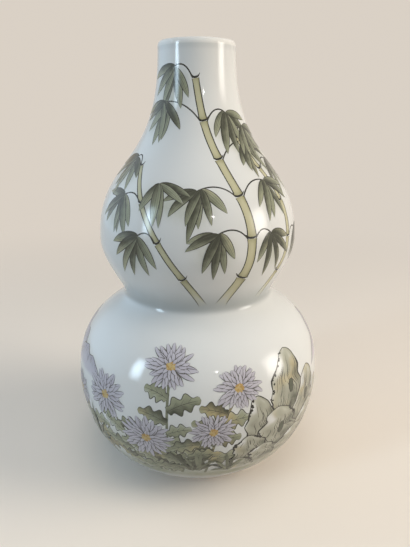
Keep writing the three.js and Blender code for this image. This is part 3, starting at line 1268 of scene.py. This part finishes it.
    def heart(self, hearts, middle, size):
        """An oval heart, with seeds scattered evenly over it that point outwards."""
        random = self.random
        angle = random.uniform(0, 2 * math.pi, SEEDS)
        away = size * HEART_WIDE * np.sqrt(random.uniform(0, 1, SEEDS))
        straight, long = np.zeros(SEEDS), np.full(SEEDS, SEED_LENGTH)
        path = self.wall.bent(*self.about(middle, away, angle), angle, straight, long, SEED_POINTS)
        lift = coat(HEART_COATS)
        hearts.oval(*middle, HEART_WIDE * size, HEART_TALL * size, lift, 0.5)
        hearts.stroke(path, SEED_HALF, lift + 2 * INK, spread(random.uniform(0.3, 1, SEEDS)), SEED_ENDS)


# Grass clumps: degrees right of the front, height in millimetres, blades, and their length in millimetres
GRASS = (
    (-54, 36, 11, 32),
    (-2, 33, 10, 27),
    (14, 31, 8, 21),
    (80, 37, 11, 29),
    (-98, 36, 9, 29),
    (112, 36, 9, 25),
    (176, 33, 10, 29),
    (220, 36, 10, 27),
)
# Blades: half width and scatter of the feet in metres, half fan and scatter of the turn in radians
BLADE_HALF = 0.0011
FOOT_SCATTER = 0.0008
GRASS_FAN = 0.75
TURN_SCATTER = 0.02
BLADE_POINTS = 31
BLADE_ENDS = (0.5, 0.03)
# Coats under the grass, and coats that its blades lie on in turn
GRASS_COATS = 24
BLADE_COATS = 3


class PaintGrass(PaintStep, bpy.types.Operator):
    """Paint the clumps of grass"""

    bl_idname = "vase.paint_grass"
    bl_label = "Grass"

    def execute(self, context):
        self.prepare(context)
        blades = Layer(self.wall)
        for clump in GRASS:
            self.clump(blades, *clump)
        self.finish(blades, "grass_blades", "grass_enamel", self.paint.thin_leaf, self.paint.leaf)
        return {"FINISHED"}

    def clump(self, blades, degrees, height, count, size):
        """Blades that fan out from one foot, and bend further the further out they stand."""
        random = self.random
        fan = np.linspace(-1, 1, count)
        heading = math.radians(90) - fan * GRASS_FAN + random.normal(0, 0.08, count)
        bend = -fan * random.uniform(0.5, 1.3, count)
        turn = math.radians(degrees) + random.normal(0, TURN_SCATTER, count)
        walk = self.wall.climb(height * MM) + random.normal(0, FOOT_SCATTER, count)
        long = size * MM * (1 - 0.35 * np.abs(fan)) * random.uniform(0.75, 1.1, count)
        path = self.wall.bent(turn, walk, heading, bend, long, BLADE_POINTS)
        tone = spread(random.uniform(0.5, 1, count))
        lift = coat(GRASS_COATS + spread(np.arange(count) % BLADE_COATS))
        blades.stroke(path, BLADE_HALF, lift, tone, BLADE_ENDS)


# Bamboo: points up each stalk (degrees right of the front, height in millimetres), then its half width
# in millimetres at the foot and at the tip
STALKS = (
    (((15, 139), (27, 169), (28, 198), (19, 228), (7, 256), (-2, 282)), 3.8, 2.0),
    (((46, 139), (57, 172), (59, 198), (53, 224), (42, 246)), 2.9, 1.6),
    (((4, 139), (-10, 165), (-23, 189), (-35, 211), (-46, 229)), 2.5, 1.3),
    (((190, 139), (178, 169), (179, 198), (190, 226), (204, 246)), 3.5, 1.7),
)
# Leaf sprays: stalk, share of the way up it, reach right and up in millimetres, leaves, and layer of paint
SPRAYS = (
    (0, 0.97, -14, 6, 6, 0),
    (0, 0.90, 14, 5, 6, 0),
    (0, 0.77, -27, 12, 7, 1),
    (0, 0.71, 22, 12, 6, 1),
    (0, 0.57, -25, 4, 7, 0),
    (0, 0.50, 22, 9, 6, 2),
    (0, 0.31, -22, 3, 6, 1),
    (0, 0.27, 15, 0, 5, 0),
    (1, 0.97, 8, 7, 6, 2),
    (1, 0.72, 18, 5, 6, 0),
    (1, 0.44, 16, 1, 6, 1),
    (2, 0.97, -9, 5, 6, 1),
    (2, 0.86, 9, 13, 5, 1),
    (2, 0.68, -18, 2, 7, 0),
    (2, 0.42, -15, 2, 6, 1),
    (3, 0.96, 8, 6, 6, 0),
    (3, 0.78, -21, 9, 6, 0),
    (3, 0.60, 21, 8, 7, 0),
    (3, 0.38, -20, 3, 6, 0),
)
# Stalks: internode, gap and hook at a joint and fade at the foot in metres, a joint's reach in half widths
INTERNODE = 0.026
JOINT_GAP = 0.0007
JOINT_HOOK = 0.0011
STALK_FADE = 0.020
JOINT_REACH = 1.25
STALK_ENDS = (0.6, 0.4)

# Sprays: a twig's foot in half widths of the stalk, its bow and a leaf's sizes in metres, half fan and lean
TWIG_FOOT = 0.8
TWIG_BOW = 0.020
LEAF_LENGTH = 0.0305
LEAF_HALF = 0.0026
LEAF_FAN = math.radians(64)
SPRAY_LEAN = math.radians(22)
TWIG_ENDS = (0.8, 0.5)

# Clouds behind sprays: drop, half width and half height in metres, strength, and margins of their band
CLOUD_DROP = 0.011
CLOUD_SHAPE = (0.022, 0.018, 0.15)
CLOUDS_OVER_WAIST = 0.006
CLOUDS_UNDER_LIP = 0.010

# Samples up a stalk, and points along an internode, a joint line, and a twig or leaf
STALK_SAMPLES = 400
INTERNODE_POINTS = 31
JOINT_POINTS = 9
LEAF_POINTS = 21

# Weights in shares of a line's width
JOINT_LINE = 1.6
TWIG_LINE = 1.1
LEAF_RIB = 0.45
LEAF_VEIN = 0.3

# Coats under the first leaf, to the next layer of sprays, and between leaves that lie over each other
LEAF_COATS = 2
SPRAY_COATS = 6
OVER_LEAF = 1.5


class PaintBamboo(PaintStep, bpy.types.Operator):
    """Paint the bamboo: jointed stalks, twigs and sprays of leaves"""

    bl_idname = "vase.paint_bamboo"
    bl_label = "Bamboo"

    def execute(self, context):
        self.prepare(context)
        form, paint = self.form, self.paint
        stalks, leaves = Layer(self.wall), Layer(self.wall)
        joints = [self.stalk(stalks, points, foot * MM, tip * MM) for points, foot, tip in STALKS]
        clouds = []
        for number, way, right, up, count, layer in SPRAYS:
            turn, walk, half = (joint[round(way * len(joint)) - 1] for joint in joints[number])
            edge = turn + TWIG_FOOT * math.copysign(half, right) / self.wall.radius(walk)
            tip_turn, tip_walk = self.spray(leaves, (edge, walk), right * MM, up * MM, count, layer)
            clouds.append((tip_turn, tip_walk - CLOUD_DROP, *CLOUD_SHAPE))
        leaves.mist(form.waist + CLOUDS_OVER_WAIST, form.lip - CLOUDS_UNDER_LIP, clouds)
        self.finish(stalks, "bamboo_stalks", "stalk_enamel", paint.thin_stalk, paint.stalk)
        self.finish(leaves, "bamboo_leaves", "leaf_enamel", paint.thin_leaf, paint.leaf, paint.thin_stalk)
        self.finish_ink("bamboo")
        return {"FINISHED"}

    def stalk(self, stalks, points, foot, tip):
        """Internodes of about equal length, flared at both ends, with inked sides and a hook at each joint.

        The stalk fades in from bare glaze at its foot. Gives each joint's turn, walk and half width.
        """
        wall, ink = self.wall, self.ink
        turn, walk = wall.through(points, STALK_SAMPLES)
        step = np.hypot(np.diff(turn) * wall.radius(walk[1:]), np.diff(walk))
        gone = np.concatenate(([0], np.cumsum(step)))
        bounds = np.linspace(0, gone[-1], round(gone[-1] / INTERNODE) + 1)
        u = np.linspace(0, 1, INTERNODE_POINTS)
        at = bounds[:-1, None] + JOINT_GAP + (bounds[1:] - bounds[:-1] - 2 * JOINT_GAP)[:, None] * u
        turns, walks = np.interp(at, gone, turn), np.interp(at, gone, walk)
        half = (foot + (tip - foot) * at / gone[-1]) * (0.92 + 0.22 * (2 * u - 1) ** 6)
        fade = np.clip(at / STALK_FADE, 0, 1)[..., None]
        over = WASH[0]
        tone = 0.30 + 0.45 * over**2 * (0.6 + 0.4 * over) + 0.35 * np.abs(2 * u - 1)[:, None] ** 5
        edges = stalks.brush((turns, walks), half, WASH, COAT, tone * fade)
        ink.rims(edges, self.line, COAT + INK, 0.85 * fade, STALK_ENDS)
        side_turn, side_walk = wall.aside(turns, walks)
        across = np.linspace(-JOINT_REACH, JOINT_REACH, JOINT_POINTS)
        away = half[:, -1:] * across
        hook = JOINT_GAP + JOINT_HOOK * np.abs(across) ** 3
        joint = turns[:, -1:] + away * side_turn[:, -1:], walks[:, -1:] + away * side_walk[:, -1:] + hook
        ink.stroke(joint, self.line * JOINT_LINE, COAT + 2 * INK, 1.0)
        return turns[:, -1], walks[:, -1], half[:, -1]

    def spray(self, leaves, anchor, right, up, count, layer):
        """A bowed twig, and leaves that fan downwards from its tip, whose turn and walk it gives back.

        A leaf droops further the flatter it starts, and pales towards its tip. Its half width at share u of
        its length goes with u^0.62 (1 - u)^0.86, so it swells quickly and runs out to a long point.
        """
        wall, ink, random = self.wall, self.ink, self.random
        turn, walk = anchor
        u = np.linspace(0, 1, LEAF_POINTS)
        twig_walk = (walk + up * u + TWIG_BOW * u * (1 - u))[None]
        twig_turn = turn + right * (0.75 * u + 0.25 * u**2) / wall.radius(twig_walk)
        ink.stroke((twig_turn, twig_walk), self.line * TWIG_LINE, COAT + 2 * INK, 0.85, TWIG_ENDS)
        fan = np.linspace(-1, 1, count)
        lean = SPRAY_LEAN * np.sign(right)
        heading = math.radians(-90) + lean + fan * LEAF_FAN + random.normal(0, 0.10, count)
        bend = -0.45 * np.cos(heading) + random.normal(0, 0.08, count)
        size = LEAF_LENGTH * (1 - 0.28 * np.abs(fan)) * random.uniform(0.85, 1.15, count)
        start = ((LEAF_POINTS - 1) * (1 - random.uniform(0, 0.15, count))).astype(int)
        path = wall.bent(twig_turn[0, start], twig_walk[0, start], heading, bend, size, LEAF_POINTS)
        width = np.maximum(2.73 * u**0.62 * (1 - u) ** 0.86, 0.02)
        half = LEAF_HALF * width * random.uniform(0.85, 1.15, (count, 1))
        lift = coat(LEAF_COATS + SPRAY_COATS * layer + OVER_LEAF * spread(3 * np.arange(count) % 4))
        strength = spread(random.uniform(0.7, 1.45, count))
        tone = strength * (1.2 - 0.8 * u)[:, None] * (0.8 + 0.28 * WASH[0])
        edges = leaves.brush(path, half, WASH, lift, tone)
        ink.rims(edges, self.line * LEAF_LINE, lift + INK, 0.8)
        ink.stroke(path, self.line * LEAF_RIB, lift + INK, 0.7)
        for edge in edges:
            vein = [(middle + side) / 2 for middle, side in zip(path, edge)]
            ink.stroke(vein, self.line * LEAF_VEIN, lift + INK, 0.5)
        return twig_turn[0, -1], twig_walk[0, -1]


# Lamps: degrees right of the front, degrees up, distance, width and height in metres, watts, colour, and
# whether the glaze mirrors them
LAMPS = (
    ("left_strip", -58, 17, 1.6, 0.38, 0.95, 7.8, (0.64, 0.84, 1.0), True),
    ("left_fill", -104, 14, 1.5, 2.4, 2.2, 7.2, (0.50, 0.75, 1.0), True),
    ("right_panel", 74, 11, 1.6, 0.70, 0.90, 7.4, (1.0, 0.95, 0.87), True),
    ("key", 80, 26, 1.7, 1.2, 1.2, 17.0, (1.0, 0.91, 0.79), False),
    ("overhead", 10, 78, 1.9, 1.6, 1.6, 12.3, (1.0, 0.97, 0.93), False),
    ("spark", 18, 27, 1.44, 0.034, 0.034, 0.40, (1.0, 0.97, 0.93), True),
)
# Place that the lamps aim at
AIM = Vector((0, 0, 0.17))

# Floor: first and last ring, thickness, and distances over which it turns into the backdrop in metres, then
# rings, faces around, depth of its grain in metres, share of its colour in its clouds, and roughness
FLOOR_START = 0.02
FLOOR_END = 30.0
FLOOR_DEPTH = 0.01
FLOOR_FADE = (0.16, 0.9)
FLOOR_RINGS = 28
FLOOR_AROUND = 96
FLOOR_GRAIN = 2e-5
FLOOR_SHADE = 0.95
FLOOR_ROUGHNESS = 0.6


def seen_rays(value):
    """1 for rays from the camera, from a mirrored surface or through glass, else 0."""
    path = value.node("ShaderNodeLightPath", output="Is Camera Ray")
    return path + path.other("Is Glossy Ray") + path.other("Is Transmission Ray")


class LightStage(bpy.types.Operator):
    """Set the floor, the lamps and the camera"""

    bl_idname = "vase.light_stage"
    bl_label = "Stage"

    def execute(self, context):
        scene = context.scene
        studio = scene.vase_studio
        self.floor(studio)
        for lamp in LAMPS:
            self.lamp(*lamp)
        scene.world = self.surround(studio)
        scene.camera = self.camera(studio)
        scene.view_settings.view_transform = "Standard"
        return {"FINISHED"}

    def floor(self, studio):
        """A wide disc: rings at growing radii about the vase's axis. Far out it shows the plain backdrop."""
        rings = np.geomspace(FLOOR_START, FLOOR_END, FLOOR_RINGS)
        radius = np.concatenate(([0.0], rings, [FLOOR_END, 0.0]))
        height = np.zeros(len(radius))
        height[-2:] = -FLOOR_DEPTH
        mesh = lathe("floor", np.stack((radius, height), axis=1)[::-1], FLOOR_AROUND)
        material, position = new_material("pale_floor")
        shade = blend(colour(studio.floor), colour(studio.floor, FLOOR_SHADE), noise(position, FLOOR_CLOUDS))
        shade = blend(colour(studio.bounce), shade, seen_rays(position))
        grain = bump(noise(position, FLOOR_GRAINS) * FLOOR_GRAIN)
        inputs = {"Base Color": shade, "Roughness": FLOOR_ROUGHNESS, "Normal": grain}
        near = position.node("ShaderNodeBsdfPrincipled", {}, inputs)
        far = position.node("ShaderNodeEmission", {}, {"Color": colour(studio.backdrop), "Strength": 1.0})
        away = position.node("ShaderNodeVectorMath", {"operation": "LENGTH"}, {0: position}, output="Value")
        inputs = {0: ramp(away, *FLOOR_FADE) * seen_rays(position), 1: near, 2: far}
        mixed = position.node("ShaderNodeMixShader", {}, inputs)
        position.node("ShaderNodeOutputMaterial", {}, {"Surface": mixed})
        mesh.materials.append(material)
        floor = bpy.data.objects.new("floor", mesh)
        bpy.context.scene.collection.objects.link(floor)

    def lamp(self, name, azimuth, elevation, distance, width, height, power, shade, mirrored):
        """A soft box aimed at the middle of the vase, brightest in its own middle and faded at its edges.

        The fade is 4 x (1 - x) in each direction. Their product has a mean of 4/9.
        """
        light = bpy.data.lights.new(name, "AREA")
        light.shape = "RECTANGLE"
        light.size, light.size_y = width, height
        light.energy = power
        light.color = shade
        light.use_nodes = True
        light.node_tree.nodes.clear()
        root = Value(light.node_tree)
        place_on = root.node("ShaderNodeNewGeometry", output="Parametric")
        x = root.node("ShaderNodeSeparateXYZ", {}, {0: place_on})
        y = x.other(1)
        fade = x * (1 - x) * 4 * (y * (1 - y) * 4)
        glow = root.node("ShaderNodeEmission", {}, {"Strength": fade * (9 / 4)})
        root.node("ShaderNodeOutputLight", {}, {"Surface": glow})
        across, rise = math.radians(azimuth), math.radians(elevation)
        flat = distance * math.cos(rise)
        place = AIM + Vector((flat * math.sin(across), -flat * math.cos(across), distance * math.sin(rise)))
        lamp = bpy.data.objects.new(name, light)
        lamp.location = place
        lamp.rotation_euler = (AIM - place).to_track_quat("-Z", "Y").to_euler()
        lamp.visible_glossy = mirrored
        bpy.context.scene.collection.objects.link(lamp)

    def surround(self, studio):
        """A world of soft light, which the camera and the glaze see as the plain backdrop."""
        world = bpy.data.worlds.new("surround")
        world.use_nodes = True
        world.node_tree.nodes.clear()
        root = Value(world.node_tree)
        inputs = {"Color": colour(studio.surround), "Strength": studio.surround_level}
        soft = root.node("ShaderNodeBackground", {}, inputs)
        plain = root.node("ShaderNodeBackground", {}, {"Color": colour(studio.backdrop), "Strength": 1.0})
        seen = root.node("ShaderNodeMixShader", {}, {0: seen_rays(root), 1: soft, 2: plain})
        root.node("ShaderNodeOutputWorld", {}, {"Surface": seen})
        return world

    def camera(self, studio):
        """A camera in front of the vase that looks down on it."""
        lens = bpy.data.cameras.new("camera")
        lens.lens = studio.camera_lens
        camera = bpy.data.objects.new("camera", lens)
        camera.location = (0, -studio.camera_back, studio.camera_up)
        camera.rotation_euler = (math.pi / 2 - studio.camera_pitch, 0, -studio.camera_yaw)
        bpy.context.scene.collection.objects.link(camera)
        return camera


STEPS = (
    TurnSections,
    LuteJoints,
    SetFoot,
    PaintHills,
    PaintRock,
    PaintBlooms,
    PaintGrass,
    PaintBamboo,
    LightStage,
)


class VasePanel(bpy.types.Panel):
    """Lists the steps that make the vase, and its sizes and colours"""

    bl_idname = "VIEW3D_PT_vase"
    bl_label = "Double-gourd vase"
    bl_space_type = "VIEW_3D"
    bl_region_type = "UI"
    bl_category = "Vase"

    def draw(self, context):
        for step in STEPS:
            self.layout.operator(step.bl_idname)
        for group in (context.scene.vase_form, context.scene.vase_paint, context.scene.vase_studio):
            box = self.layout.box()
            for name in group.__annotations__:
                box.prop(group, name)


CLASSES = (VaseForm, VasePaint, VaseStudio, *STEPS, VasePanel)


def register():
    for cls in CLASSES:
        bpy.utils.register_class(cls)
    bpy.types.Scene.vase_form = PointerProperty(type=VaseForm)
    bpy.types.Scene.vase_paint = PointerProperty(type=VasePaint)
    bpy.types.Scene.vase_studio = PointerProperty(type=VaseStudio)


def unregister():
    del bpy.types.Scene.vase_studio
    del bpy.types.Scene.vase_paint
    del bpy.types.Scene.vase_form
    for cls in reversed(CLASSES):
        bpy.utils.unregister_class(cls)


def main():
    register()
    bpy.ops.vase.turn_sections()
    bpy.ops.vase.lute_joints()
    bpy.ops.vase.set_foot()
    bpy.ops.vase.paint_hills()
    bpy.ops.vase.paint_rock()
    bpy.ops.vase.paint_blooms()
    bpy.ops.vase.paint_grass()
    bpy.ops.vase.paint_bamboo()
    bpy.ops.vase.light_stage()


if __name__ == "__main__":
    main()
